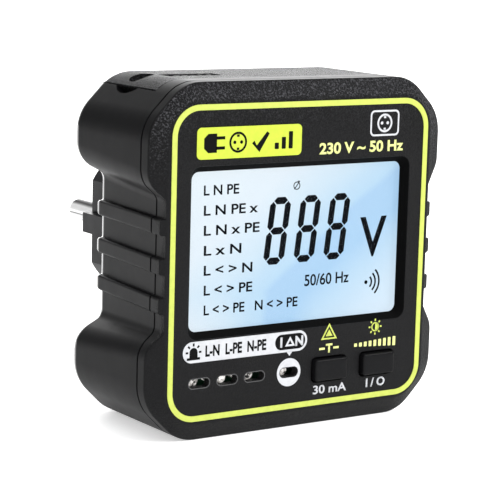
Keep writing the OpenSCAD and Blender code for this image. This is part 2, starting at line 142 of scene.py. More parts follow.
def bump(tree, bsdf, heights, distance):
    """Adds up bumps: heights is a list of (height output, strength)."""
    last = None
    for height, strength in heights:
        node = tree.nodes.new("ShaderNodeBump")
        node.inputs["Strength"].default_value = strength
        node.inputs["Distance"].default_value = distance
        tree.links.new(height, node.inputs["Height"])
        if last is not None:
            tree.links.new(last, node.inputs["Normal"])
        last = node.outputs["Normal"]
    tree.links.new(last, bsdf.inputs["Normal"])


def maths(tree, kind, a, b):
    """Maths between two outputs or numbers."""
    node = tree.nodes.new("ShaderNodeMath")
    node.operation = kind
    for socket, value in zip(node.inputs, (a, b)):
        if isinstance(value, (int, float)):
            socket.default_value = value
        else:
            tree.links.new(value, socket)
    return node.outputs[0]


def times(tree, *values):
    """Product of outputs or numbers."""
    result = values[0]
    for value in values[1:]:
        result = maths(tree, "MULTIPLY", result, value)
    return result


def share(tree, output, low, high):
    """Where an output lies between two values, from 0 to 1."""
    node = tree.nodes.new("ShaderNodeMapRange")
    node.inputs["From Min"].default_value = low
    node.inputs["From Max"].default_value = high
    tree.links.new(output, node.inputs["Value"])
    return node.outputs["Result"]


def plastic(name, colour, rough, grain=3200.0, grain_strength=0.35, vary=0.18, specular=0.5):
    """Moulded plastic: fine spark-eroded grain, faint flow marks and uneven gloss."""
    mat, tree, bsdf = node_tree(name)
    low = tuple(c * (1 - vary) for c in colour)
    high = tuple(min(1.0, c * (1 + vary)) for c in colour)
    tree.links.new(ramp(tree, noise(tree, 90.0), [(0.3, low), (0.7, high)]), bsdf.inputs["Base Color"])
    gloss = ramp(tree, noise(tree, 260.0), [(0.3, grey(rough - 0.05)), (0.7, grey(rough + 0.06))])
    tree.links.new(gloss, bsdf.inputs["Roughness"])
    bsdf.inputs["Specular IOR Level"].default_value = specular
    bump(tree, bsdf, [(noise(tree, grain, 2.0), grain_strength), (noise(tree, 140.0), 0.05)], 0.00006)
    return mat


def case_plastic(name, colour, zones):
    """Black case plastic with a coarse grain whose sparkle is painted in: its specks are made many times
    lighter in colour, as painted glints. On the shell (zones) the sides and a band behind the seam stay
    smooth, as the mould leaves them, and the rear rim is polished. On the cover the grain is full on the
    bevel, half on the flat panel and absent in the display recess, and it grows towards the top, which
    also paints the top lighter, as painted top light; the display recess is painted darker, as painted
    shade."""
    mat, tree, bsdf = node_tree(name)
    place = position(tree)
    # Painted glints: the grain's specks below are made up to 11 times (shell) or 16 times (cover)
    # lighter in colour, standing for light sparkling off the grain.
    grain_and_painted_glints = share(tree, noise(tree, 2700.0, 3.0, 0.75), 0.44, 0.62)
    depth = lambda near, far: share(tree, place["Y"], PANEL_Y + near * MM, PANEL_Y + far * MM)
    beyond = lambda axis, middle: maths(
        tree, "ABSOLUTE", maths(tree, "SUBTRACT", place[axis], middle), 0.0)
    if zones:
        level = maths(tree, "SUBTRACT", beyond("Z", MID_Z), beyond("X", 0.0))
        start = (HALF_W + HALF_H - CORNER_CUT + 2 * WITNESS_X) * MM
        before_back = depth(BACK_Y - 0.04, BACK_Y - 0.1)
        grained = times(tree, share(tree, level, start - 2e-5, start + 2e-5),
                        depth(WITNESS_START_Y - 0.1, WITNESS_START_Y), before_back)
        polished = times(tree, depth(BACK_Y - 2.0, BACK_Y - 1.5), before_back)
    else:
        beside = share(tree, beyond("X", 0.0), (RECESS_W + 0.5) * MM, RECESS_W * MM)
        level_with = share(tree, beyond("Z", MID_Z + WINDOW_Z * MM), (RECESS_H + 0.5) * MM,
                           RECESS_H * MM)
        recess = times(tree, beside, level_with, depth(0.05, 0.15))
        # Painted top light: the grain and its light specks grow towards the top of the cover, so the top
        # reads lighter as if lit from above.
        grain_and_painted_top_light = share(tree, place["Z"], MID_Z + 14 * MM, MID_Z + 33 * MM)
        grained = times(tree, depth(-0.2, 0.2), depth(1.75, 1.55),
                        maths(tree, "SUBTRACT", 1.0, recess), maths(tree, "ADD", 0.25, grain_and_painted_top_light))
    cover = times(tree, grain_and_painted_glints, grained)
    tone_with_painted_light = maths(tree, "ADD", times(tree, noise(tree, 90.0), 0.2), times(tree, cover, 0.8))
    gloss = maths(tree, "ADD", 0.4, times(tree, noise(tree, 260.0), 0.1))
    if zones:
        gloss = maths(tree, "SUBTRACT", gloss, times(tree, polished, 0.32))
        tree.links.new(polished, bsdf.inputs["Coat Weight"])
        bsdf.inputs["Coat Roughness"].default_value = 0.08
        bsdf.inputs["Coat IOR"].default_value = 1.8
    else:
        # Painted shade: the display recess is made darker in colour.
        tone_with_painted_light = maths(tree, "SUBTRACT", tone_with_painted_light, times(tree, recess, 0.3))
        gloss = maths(tree, "ADD", gloss, times(tree, recess, 0.5))
    shade = lambda factor: tuple(c * factor for c in colour)
    # The top stop of this ramp is the painted glint colour of the grain's specks.
    tree.links.new(ramp(tree, tone_with_painted_light, [(0.0, shade(0.1)), (0.06, colour), (0.4, shade(1.6)),
                                     (1.0, shade(11.0 if zones else 16.0))]),
                   bsdf.inputs["Base Color"])
    tree.links.new(gloss, bsdf.inputs["Roughness"])
    bsdf.inputs["Specular IOR Level"].default_value = 0.105
    bump(tree, bsdf, [(cover, 1.0), (noise(tree, 5200.0, 1.0), 0.04), (noise(tree, 140.0), 0.03)],
         0.0002)
    return mat


def metal(name, colour, rough, stretch=(1.0, 1.0, 1.0), scratch=0.12):
    """Plated metal with drawn lines along one axis and soft smudges."""
    mat, tree, bsdf = node_tree(name)
    bsdf.inputs["Metallic"].default_value = 1.0
    mapping = tree.nodes.new("ShaderNodeMapping")
    mapping.inputs["Scale"].default_value = stretch
    tree.links.new(coords(tree), mapping.inputs["Vector"])
    lines = tree.nodes.new("ShaderNodeTexNoise")
    lines.inputs["Scale"].default_value = 1800.0
    lines.inputs["Detail"].default_value = 3.0
    tree.links.new(mapping.outputs["Vector"], lines.inputs["Vector"])
    dark = tuple(c * 0.86 for c in colour)
    tree.links.new(ramp(tree, noise(tree, 220.0), [(0.35, dark), (0.65, colour)]),
                   bsdf.inputs["Base Color"])
    gloss = ramp(tree, lines.outputs["Fac"], [(0.3, grey(rough * 0.7)), (0.7, grey(rough * 1.5))])
    tree.links.new(gloss, bsdf.inputs["Roughness"])
    bump(tree, bsdf, [(lines.outputs["Fac"], scratch)], 0.00002)
    return mat


def plated(name):
    """Bright nickel plate on a round pin, with its reflections painted in: light and dark bands run
    along it in the colour and specular tint, set by which way the surface faces.
    """
    mat, tree, bsdf = node_tree(name)
    bsdf.inputs["Metallic"].default_value = 0.35
    facing = tree.nodes.new("ShaderNodeSeparateXYZ")
    tree.links.new(tree.nodes.new("ShaderNodeNewGeometry").outputs["Normal"], facing.inputs["Vector"])
    wobble = maths(tree, "MULTIPLY", maths(tree, "SUBTRACT", noise(tree, 160.0), 0.5), 0.06)
    turn = share(tree, maths(tree, "ADD", facing.outputs["Z"], wobble), -1.0, 1.0)
    # Painted reflections: colour and specular tint go light and dark with the height of the surface
    # normal, drawing bands of reflected studio light along the pin.
    painted_reflections = ramp(tree, turn, [
        (0.0, grey(0.12)), (0.06, grey(0.2)), (0.12, grey(0.8)), (0.36, grey(0.75)),
        (0.42, grey(0.12)), (0.47, grey(0.98)), (0.8, grey(0.98)), (0.87, grey(0.3)),
        (0.92, grey(0.07)), (1.0, grey(0.06))])
    tree.links.new(painted_reflections, bsdf.inputs["Base Color"])
    tree.links.new(painted_reflections, bsdf.inputs["Specular Tint"])
    bsdf.inputs["Specular IOR Level"].default_value = 0.1
    gloss = ramp(tree, noise(tree, 500.0), [(0.3, grey(0.14)), (0.7, grey(0.22))])
    tree.links.new(gloss, bsdf.inputs["Roughness"])
    bump(tree, bsdf, [(noise(tree, 900.0), 0.05)], 0.00003)
    return mat


def ink(name, colour, rough=0.45, specular=0.5):
    """Screen-printed ink: a little uneven in cover and gloss."""
    mat, tree, bsdf = node_tree(name)
    thin = tuple(c * 0.9 for c in colour)
    tree.links.new(ramp(tree, noise(tree, 700.0), [(0.35, thin), (0.6, colour)]),
                   bsdf.inputs["Base Color"])
    gloss = ramp(tree, noise(tree, 1500.0), [(0.3, grey(rough - 0.06)), (0.7, grey(rough + 0.08))])
    tree.links.new(gloss, bsdf.inputs["Roughness"])
    bump(tree, bsdf, [(noise(tree, 2600.0, 2.0), 0.12)], 0.00003)
    bsdf.inputs["Specular IOR Level"].default_value = specular
    return mat


def clear(name, colour, alpha, rough=0.04, specular=0.6):
    """Clear moulding: mostly see-through, with a glossy face and faint smears."""
    mat, tree, bsdf = node_tree(name)
    bsdf.inputs["Base Color"].default_value = (*colour, 1)
    bsdf.inputs["Alpha"].default_value = alpha
    bsdf.inputs["Specular IOR Level"].default_value = specular
    gloss = ramp(tree, noise(tree, 120.0), [(0.3, grey(rough)), (0.75, grey(rough + 0.06))])
    tree.links.new(gloss, bsdf.inputs["Roughness"])
    return mat


def lens(name):
    """Clear LED epoxy with painted glints: light and dark spots in its colour, and the light ones glow
    through emission, standing for highlights on the dome.
    """
    mat, tree, bsdf = node_tree(name)
    # Painted glints: light spots in the colour, made to glow through emission, stand for highlights on
    # the clear dome.
    painted_glints = ramp(tree, noise(tree, 1000.0, 2.0), [
        (0.4, grey(0.02)), (0.5, (0.4, 0.38, 0.36)), (0.6, (0.95, 0.93, 0.9))])
    tree.links.new(painted_glints, bsdf.inputs["Base Color"])
    tree.links.new(painted_glints, bsdf.inputs["Emission Color"])
    bsdf.inputs["Emission Strength"].default_value = 0.7
    bsdf.inputs["Roughness"].default_value = 0.06
    bump(tree, bsdf, [(noise(tree, 600.0), 0.1)], 0.00004)
    return mat


def lit_display(name):
    """Backlit liquid-crystal display: a pale blue glow with a painted sheen in it, whiter to the upper
    left and with a soft diagonal band.
    """
    mat, tree, bsdf = node_tree(name)
    place = position(tree)
    low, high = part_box("lcd_glass")
    across = share(tree, place["X"], low.x, high.x)
    up = share(tree, place["Z"], low.z, high.z)
    # Painted sheen: the glow colour shifts along a slant and a soft noise, and is whiter at the lower
    # left corner, drawing a whiter upper left and a diagonal band.
    slant = maths(tree, "ADD", times(tree, across, 0.75), times(tree, up, -0.65))
    wave = maths(tree, "ADD", slant, times(tree, noise(tree, 30.0, 2.0), 0.12))
    corner = times(tree, share(tree, up, 0.24, 0.0), share(tree, across, 0.6, 0.1))
    wave = maths(tree, "SUBTRACT", wave, times(tree, corner, 0.3))
    glow_and_painted_sheen = ramp(tree, share(tree, wave, -0.6, 0.8), [
        (0.07, (0.81, 0.89, 0.93)), (0.29, (0.77, 0.85, 0.91)), (0.43, (0.63, 0.78, 0.89)),
        (0.5, (0.53, 0.72, 0.88)), (0.55, (0.49, 0.7, 0.88)), (0.575, (0.4, 0.62, 0.86)),
        (0.68, (0.39, 0.62, 0.86)), (0.77, (0.51, 0.71, 0.885)), (0.88, (0.64, 0.79, 0.915)),
        (1.0, (0.7, 0.82, 0.93))])
    bsdf.inputs["Base Color"].default_value = (0.05, 0.07, 0.09, 1)
    tree.links.new(glow_and_painted_sheen, bsdf.inputs["Emission Color"])
    bsdf.inputs["Emission Strength"].default_value = 1.02
    bsdf.inputs["Roughness"].default_value = 0.3
    bsdf.inputs["Specular IOR Level"].default_value = 0.2
    return mat


CASE_BLACK_PAINTED_GLINTS = case_plastic("case_black", (0.0042, 0.0042, 0.0047), True)
COVER_BLACK_PAINTED_LIGHT = case_plastic("cover_black_painted_light", (0.0055, 0.0055, 0.006), False)
KEY_BLACK = plastic("key_black", (0.005, 0.005, 0.0056), 0.34, grain=4200.0, grain_strength=0.2,
                    specular=0.08)
BASE_BLACK = plastic("base_black", (0.01, 0.01, 0.011), 0.42, specular=0.2)
YELLOW = ink("signal_yellow", (0.51, 0.585, 0.11), 0.45, specular=0.2)
PLATE_YELLOW = ink("plate_yellow", (0.51, 0.61, 0.06), 0.45, specular=0.1)
WHITE_INK = ink("white_ink", (0.55, 0.56, 0.585), 0.5, specular=0.2)
PALE_INK = ink("pale_yellow_ink", (0.72, 0.76, 0.28), 0.5, specular=0.2)
DARK_INK = ink("dark_ink", (0.004, 0.004, 0.004), 0.5, specular=0.05)
SEGMENT = ink("segment_black", (0.002, 0.0025, 0.004), 0.5, specular=0.02)
NICKEL_PAINTED_REFLECTIONS = plated("nickel_plate_painted_reflections")
SPRING = metal("spring_steel", (0.72, 0.71, 0.69), 0.26, (1.0, 0.1, 1.0))
SCREW = metal("blackened_steel", (0.3, 0.3, 0.31), 0.35)
BRASS = metal("brass_strip", (0.78, 0.58, 0.26), 0.3, (0.2, 1.0, 1.0))
STEEL = metal("tin_plate", (0.66, 0.66, 0.67), 0.34)
WINDOW = clear("clear_window", (0.03, 0.035, 0.04), 0.05, specular=0.05)
FUSE_GLASS = clear("fuse_glass", (0.85, 0.9, 0.88), 0.45)
LED_PAINTED_GLINTS = lens("led_epoxy_painted_glints")
DISPLAY = lit_display("display_glow_painted_sheen")
GUIDE = plastic("light_guide", (0.85, 0.9, 0.95), 0.3, grain_strength=0.1, vary=0.03)
FRAME_WHITE = plastic("frame_white", (0.75, 0.75, 0.72), 0.5, vary=0.05)
RUBBER = plastic("contact_rubber", (0.16, 0.13, 0.2), 0.7, grain=1500.0)
BOARD = plastic("solder_resist", (0.004, 0.04, 0.018), 0.35, grain=700.0, grain_strength=0.15)
CHIP = plastic("chip_epoxy", (0.02, 0.02, 0.02), 0.55)
YELLOW_FILM = plastic("capacitor_box", (0.62, 0.45, 0.05), 0.4, vary=0.08)
SLEEVE = plastic("capacitor_sleeve", (0.03, 0.05, 0.2), 0.3, vary=0.08)
CEMENT = plastic("resistor_cement", (0.7, 0.69, 0.64), 0.85, grain=1300.0, grain_strength=0.6, vary=0.06)
RELAY = plastic("relay_case", (0.04, 0.12, 0.42), 0.35, vary=0.08)
LABEL = plastic("label_film", (0.2, 0.205, 0.215), 0.35, grain=1800.0, grain_strength=0.08, vary=0.06)

NODE_MATERIALS = {
    "accent_ring": YELLOW, "name_plate": PLATE_YELLOW, "display_window": WINDOW, "lcd_glass": DISPLAY,
    "lcd_backlight": GUIDE, "lcd_frame": FRAME_WHITE, "contact_strip": RUBBER,
    "display_board": BOARD, "power_board": BOARD, "controller_chip": CHIP, "buzzer": CHIP,
    "board_header": CHIP, "test_switch": STEEL, "backlight_switch": STEEL, "test_plunger": CHIP,
    "backlight_plunger": CHIP, "test_button": KEY_BLACK, "backlight_button": KEY_BLACK,
    "indicator_leds": LED_PAINTED_GLINTS, "leakage_led": LED_PAINTED_GLINTS, "front_cover": CASE_BLACK_PAINTED_GLINTS,
    "rear_shell": CASE_BLACK_PAINTED_GLINTS, "plug_base": BASE_BLACK, "live_pin": NICKEL_PAINTED_REFLECTIONS, "neutral_pin": NICKEL_PAINTED_REFLECTIONS,
    "upper_earth_clip": SPRING, "lower_earth_clip": SPRING, "earth_bridge": BRASS,
    "sensor_plate": BRASS, "filter_capacitor": YELLOW_FILM, "smoothing_capacitor": SLEEVE,
    "fuse": FUSE_GLASS, "load_resistor": CEMENT, "test_relay": RELAY, "varistor": RELAY,
    "case_screws": SCREW, "board_screws": STEEL, "base_screws": STEEL, "rating_label": LABEL,
}
for name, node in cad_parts.items():
    node.data.materials.clear()
    node.data.materials.append(NODE_MATERIALS[name])


# ---------------------------------------------------------------------------------------------
# Mesh helpers
def new_object(name, mesh, material):
    obj = bpy.data.objects.new(name, mesh)
    bpy.context.scene.collection.objects.link(obj)
    if material is not None:
        mesh.materials.append(material)
    return obj


def from_bmesh(name, bm, material):
    bmesh.ops.remove_doubles(bm, verts=bm.verts, dist=1e-7)
    bmesh.ops.dissolve_degenerate(bm, edges=bm.edges, dist=1e-7)
    bmesh.ops.recalc_face_normals(bm, faces=bm.faces)
    mesh = bpy.data.meshes.new(name)
    bm.to_mesh(mesh)
    bm.free()
    return new_object(name, mesh, material)


def smooth(obj, angle=32.0):
    """Smooth shading that stays crisp at edges, with large faces ruling their edges' normals."""
    obj.data.shade_smooth()
    obj.data.set_sharp_from_angle(angle=math.radians(angle))
    weighted = obj.modifiers.new("even_normals", "WEIGHTED_NORMAL")
    weighted.keep_sharp = True
    return obj


def bake(obj):
    """Applies an object's modifiers to its mesh."""
    depsgraph = bpy.context.evaluated_depsgraph_get()
    mesh = bpy.data.meshes.new_from_object(obj.evaluated_get(depsgraph))
    obj.modifiers.clear()
    obj.data = mesh


def combine(obj, tools, operation):
    """Cuts or joins each tool with obj, and throws the tools away."""
    for tool in tools:
        modifier = obj.modifiers.new("tool", "BOOLEAN")
        modifier.operation = operation
        modifier.solver = "EXACT"
        modifier.object = tool
    bake(obj)
    for tool in tools:
        bpy.data.objects.remove(tool)


def fillet(corners):
    """Points of a closed outline. Each corner is (x, z, radius, steps) and becomes an arc."""
    points = []
    count = len(corners)
    for i, (x, z, radius, steps) in enumerate(corners):
        here = Vector((x, z))
        before = Vector(corners[i - 1][:2]) - here
        after = Vector(corners[(i + 1) % count][:2]) - here
        room = 0.49 * min(before.length, after.length)
        if room < 1e-6:
            points += [here.copy() for _ in range(steps + 1)]
            continue
        before.normalize()
        after.normalize()
        turn = math.pi - before.angle(after)
        if turn < 1e-3:
            points += [here + (before * (1 - 2 * k / steps) if k * 2 < steps else
                               after * (2 * k / steps - 1)) * min(room, 0.02)
                       for k in range(steps + 1)]
            continue
        reach = min(radius * math.tan(turn / 2), room)
        r = reach / math.tan(turn / 2)
        centre = here + (before + after).normalized() * r / math.cos(turn / 2)
        start = here + before * reach - centre
        end = here + after * reach - centre
        for k in range(steps + 1):
            share = k / steps
            points.append(centre + (start * math.sin((1 - share) * turn)
                                    + end * math.sin(share * turn)) / math.sin(turn))
    return points


def rounded(w, h, r, steps=12, x=0.0, z=0.0):
    """Outline of a rounded rectangle of half width w and half height h."""
    return fillet([(x + w, z + h, r, steps), (x + w, z - h, r, steps),
                   (x - w, z - h, r, steps), (x - w, z + h, r, steps)])


def disc(x, z, r, steps=32):
    return [Vector((x + r * math.cos(math.tau * k / steps), z - r * math.sin(math.tau * k / steps)))
            for k in range(steps)]


def loft(name, rings, material=None):
    """Solid through rings of (y, outline points); all outlines have the same number of points."""
    bm = bmesh.new()
    rows = [[bm.verts.new(at(p.x, y, p.y)) for p in points] for y, points in rings]
    for front, back in zip(rows, rows[1:]):
        for k in range(len(front)):
            bm.faces.new((front[k - 1], front[k], back[k], back[k - 1]))
    bm.faces.new(rows[0])
    bm.faces.new(rows[-1])
    return from_bmesh(name, bm, material)


def prism(name, points, y0, y1, material=None):
    return loft(name, [(y0, points), (y1, points)], material)


def housing_outline(y, inset=0.0, w=None, h=None, leg=None, r=None, ribs=True):
    """The housing's outline at depth y: bevelled corners, a waist that deepens towards the back,
    and three grip ribs a side."""
    w = HALF_W - inset if w is None else w
    h = HALF_H - inset if h is None else h
    leg = CORNER_CUT - inset * (2 - ROOT2) if leg is None else leg
    r = CORNER_R - inset if r is None else r
    share = y / BACK_Y
    floor = min(HALF_W - WAIST_FRONT - y * TAPER - inset, w)
    rib = min(floor + RIB_OUT, w) if ribs else floor
    lip = WAIST_HALF + share * WAIST_SPREAD + inset * 0.5
    full = HALF_W - inset
    rise = BULGE_FRONT_Z + share * (BULGE_BACK_Z - BULGE_FRONT_Z) + inset * 0.5 - lip
    edge = lip + rise * (w - floor) / (full - (HALF_W - WAIST_FRONT - y * TAPER - inset))
    bulge = 5.5 + 2.0 * share - inset
    half_rib = RIB_H / 2 - inset
    side = [(w - leg, h, r, 8), (w, h - leg, r, 8), (w, edge, bulge, 9),
            (floor, lip, 2.2 + inset, 7)]
    if ribs:
        for k in (1, 0, -1):
            middle = k * RIB_PITCH
            side += [(floor, middle + half_rib, 0.3, 3), (rib, middle + half_rib - 0.15, 0.5, 5),
                     (rib, middle - half_rib + 0.15, 0.5, 5), (floor, middle - half_rib, 0.3, 3)]
    side += [(floor, -lip, 2.2 + inset, 7), (w, -edge, bulge, 9), (w, leg - h, r, 8),
             (w - leg, -h, r, 8)]
    return fillet(side + [(-x, z, radius, steps) for x, z, radius, steps in reversed(side)])


# ---------------------------------------------------------------------------------------------
# Places shared by the cover and the shell
POSTS = [(-25.2, 25.6), (25.2, 25.6), (-28.6, -20.0), (28.6, -20.0)]
BOARD_POSTS = [(-12.0, 25.0), (12.0, 25.0), (-10.0, -30.3), (10.5, -30.3)]
POST_SPLIT_Y = 15.0
COVER_POST_R, BOARD_POST_R, SHELL_POST_R = 2.8, 1.9, 3.5
CASE_PILOT_R, BOARD_PILOT_R, SCREW_BORE_R, WELL_R = 1.4, 0.9, 1.6, 3.0
PLUG_HOLE_R = 18.6
LIP_END_Y = SEAM_Y + 1.5
SEAM_HALF, SEAM_DEPTH = 0.28, 0.8
RING_LOW, RING_HIGH = span("accent_ring")
RING_W, RING_H = RING_HIGH.x, RING_HIGH.z
RING_R = 6.3
FACE_W, FACE_H, FACE_R = RING_W + RING_MARGIN, RING_H + RING_MARGIN, RING_R + RING_MARGIN
BEVEL_Y = 1.7
PLATE_LOW, PLATE_HIGH = span("name_plate")
LED_Z = -24.05
LED_SLOTS = [(-24.2, 4.7), (-17.5, 4.7), (-10.9, 4.7), (-2.4, 4.2)]
LED_SLOT_H = 1.75
KEYS = {"test_button": 7.8, "backlight_button": 20.15}
KEY_Z = -24.3
KEY_GAP = 0.2
KEY_R = 0.7
FLANGE_FRONT_Y, FLANGE_BACK_Y, FLANGE_OUT = 1.9, 2.7, 0.8


def arc_profile(points, steps=5):
    """Rounds the inner corners of an open profile of (a, b, radius) points."""
    out = [Vector(points[0][:2])]
    for before, here, after in zip(points, points[1:], points[2:]):
        p = Vector(here[:2])
        u = (Vector(before[:2]) - p).normalized()
        v = (Vector(after[:2]) - p).normalized()
        turn = math.pi - u.angle(v)
        reach = here[2] * math.tan(turn / 2)
        centre = p + (u + v).normalized() * here[2] / math.cos(turn / 2)
        start, end = p + u * reach - centre, p + v * reach - centre
        for k in range(steps + 1):
            s = k / steps
            out.append(centre + (start * math.sin((1 - s) * turn) + end * math.sin(s * turn))
                       / math.sin(turn))
    out.append(Vector(points[-1][:2]))
    return out


def cover_rings():
    """Rings of the cover's outside: flat face, rounded bevel, side wall and the seam's groove."""
    drop = HALF_W - FACE_W
    profile = arc_profile([(drop + 1.0, 0.0, 0), (drop, 0.0, 1.6), (0.0, BEVEL_Y, 0.45),
                           (0.0, SEAM_Y - 0.2, 0)])[1:]
    filled = []
    for a, b in zip(profile, profile[1:]):
        parts = max(1, round((a - b).length / 0.3))
        filled += [a.lerp(b, k / parts) for k in range(parts)]
    filled.append(profile[-1])
    face_leg = (FACE_R + 0.6) * (2 - ROOT2)
    rings = []
    for d, y in filled:
        share = min(1.0, d / drop)
        rings.append((y, housing_outline(
            y, w=HALF_W - d, h=HALF_H - d * (HALF_H - FACE_H) / drop,
            leg=CORNER_CUT + (face_leg - CORNER_CUT) * share,
            r=CORNER_R + (FACE_R - CORNER_R) * share)))
    rings += [(SEAM_Y - SEAM_HALF, housing_outline(SEAM_Y, 0.06)),
              (SEAM_Y - SEAM_HALF, housing_outline(SEAM_Y, SEAM_DEPTH)),
              (SEAM_Y, housing_outline(SEAM_Y, SEAM_DEPTH))]
    return rings


def slot_points(x, w, h=LED_SLOT_H):
    return rounded(w / 2, h / 2, h / 2 - 0.001, 10, x, LED_Z)


def slot_edge(x, w, h, steps=48):
    """A slot's outline at the same even angles as a disc's, so that the two can be joined."""
    points = []
    for k in range(steps):
        c, s = math.cos(math.tau * k / steps), -math.sin(math.tau * k / steps)
        flat, r = (w - h) / 2, h / 2
        if abs(c) * r <= flat * abs(s):
            far = r / abs(s)
        else:
            far = flat * abs(c) + math.sqrt(r * r - (flat * s) ** 2)
        points.append(Vector((x + c * far, LED_Z + s * far)))
    return points


def build_front_cover():
    cover = loft("front_cover_shell", cover_rings(), COVER_BLACK_PAINTED_LIGHT)
    lip = prism("lip", housing_outline(SEAM_Y, 1.0, ribs=False), SEAM_Y - 0.4, LIP_END_Y)
    combine(cover, [lip], "UNION")
    hollow = prism("hollow", housing_outline(SEAM_Y, WALL, ribs=False), PANEL_T, LIP_END_Y + 1)
    combine(cover, [hollow], "DIFFERENCE")
    posts = [prism("post", disc(x, z, COVER_POST_R), PANEL_T - 0.4, POST_SPLIT_Y) for x, z in POSTS]
    posts += [prism("post", disc(x, z, BOARD_POST_R), PANEL_T - 0.4, 8.0) for x, z in BOARD_POSTS]
    combine(cover, posts, "UNION")
    cuts = [loft("window", [
        (-0.2, rounded(WINDOW_W + 1.45, WINDOW_H + 1.45, 2.3, 8, 0, WINDOW_Z)),
        (0.0, rounded(WINDOW_W + 1.3, WINDOW_H + 1.3, 2.2, 8, 0, WINDOW_Z)),
        (PANEL_T, rounded(WINDOW_W, WINDOW_H, 1.6, 8, 0, WINDOW_Z)),
        (PANEL_T + 1, rounded(WINDOW_W, WINDOW_H, 1.6, 8, 0, WINDOW_Z))])]
    for x, w in LED_SLOTS:
        cuts.append(loft("slot", [(-0.1, slot_points(x, w + 0.5, LED_SLOT_H + 0.5)),
                                  (0.15, slot_points(x, w)), (PANEL_T + 1, slot_points(x, w))]))
    for node, x in KEYS.items():
        low, high = span(node)
        half_w, half_h = (high.x - low.x) / 2 - FLANGE_OUT, (high.z - low.z) / 2 - FLANGE_OUT
        hole = lambda g: rounded(half_w + g, half_h + g, KEY_R + g, 8, x, KEY_Z)
        cuts.append(loft("key_hole", [(-0.1, hole(KEY_GAP + 0.25)), (0.15, hole(KEY_GAP)),
                                      (PANEL_T + 1, hole(KEY_GAP))]))
    plate_x, plate_z = (PLATE_LOW.x + PLATE_HIGH.x) / 2, (PLATE_LOW.z + PLATE_HIGH.z) / 2
    cuts.append(prism("plate_seat", rounded((PLATE_HIGH.x - PLATE_LOW.x) / 2,
                                            (PLATE_HIGH.z - PLATE_LOW.z) / 2, 1.0, 12,
                                            plate_x, plate_z), -1, PLATE_HIGH.y))
    cuts += [prism("pilot", disc(x, z, CASE_PILOT_R, 20), 6.0, POST_SPLIT_Y + 1) for x, z in POSTS]
    cuts += [prism("pilot", disc(x, z, BOARD_PILOT_R, 16), 4.0, 9.0) for x, z in BOARD_POSTS]
    combine(cover, cuts, "DIFFERENCE")
    groove = prism("groove", rounded(RING_W, RING_H, RING_R, 12), -1, RING_HIGH.y)
    island = prism("island", rounded(RING_W - RING_BAND, RING_H - RING_BAND, RING_R - RING_BAND, 12),
                   -2, RING_HIGH.y + 1)
    combine(groove, [island], "DIFFERENCE")
    combine(cover, [groove], "DIFFERENCE")
    smooth(cover)
    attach(cover, HOUSING)
    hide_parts("front_cover")


# The rear rim: how far it runs along Y and inwards. Inwards stays under RIB_H / 2, or the ribs close
# up to nothing and the shell is lost.
RIM_RUN, RIM_DROP, RIM_STEPS = 2.2, 0.85, 6


def shell_rings():
    """Rings of the shell's outside: the seam's groove, straight sides and the rounded rear rim."""
    rings = [(SEAM_Y, housing_outline(SEAM_Y, SEAM_DEPTH)),
             (SEAM_Y + SEAM_HALF, housing_outline(SEAM_Y, SEAM_DEPTH)),
             (SEAM_Y + SEAM_HALF, housing_outline(SEAM_Y, 0.06)),
             (SEAM_Y + SEAM_HALF + 0.08, housing_outline(SEAM_Y))]
    rings += [(y, housing_outline(y)) for y in (9.0, 13.5, 18.0, 22.5)]
    for k in range(RIM_STEPS):
        turn = math.pi / 2 * k / RIM_STEPS
        y = BACK_Y - RIM_RUN * (1 - math.sin(turn))
        rings.append((y, housing_outline(y, RIM_DROP * (1 - math.cos(turn)))))
    rings.append((BACK_Y, housing_outline(BACK_Y, RIM_DROP)))
    return rings


EYE_X, EYE_Y, EYE_LEN, EYE_W, EYE_FLOOR_Z = -26.4, 21.0, 4.8, 4.2, 30.4
SCOOP_X, SCOOP_Y, SCOOP_R, SCOOP_H, SCOOP_DEPTH = -31.4, 20.2, 6.4, 2.0, 3.6
BEVEL_SUM = HALF_W + HALF_H - CORNER_CUT
MARK_X, MARK_Y = -16.9, 17.2


def swept(name, frame_points, material=None):
    """Solid through loops of equally many points in the panel's frame."""
    bm = bmesh.new()
    loops = [[bm.verts.new(at(*p)) for p in loop] for loop in frame_points]
    for a, b in zip(loops, loops[1:]):
        for k in range(len(a)):
            bm.faces.new((a[k - 1], a[k], b[k], b[k - 1]))
    bm.faces.new(loops[0])
    bm.faces.new(loops[-1])
    return from_bmesh(name, bm, material)


def on_bevel(x, s, y, out):
    """A point near the upper left bevel: s up along it from x, out away from it."""
    return (x + (s - out) / ROOT2, y, BEVEL_SUM + x + (s + out) / ROOT2)


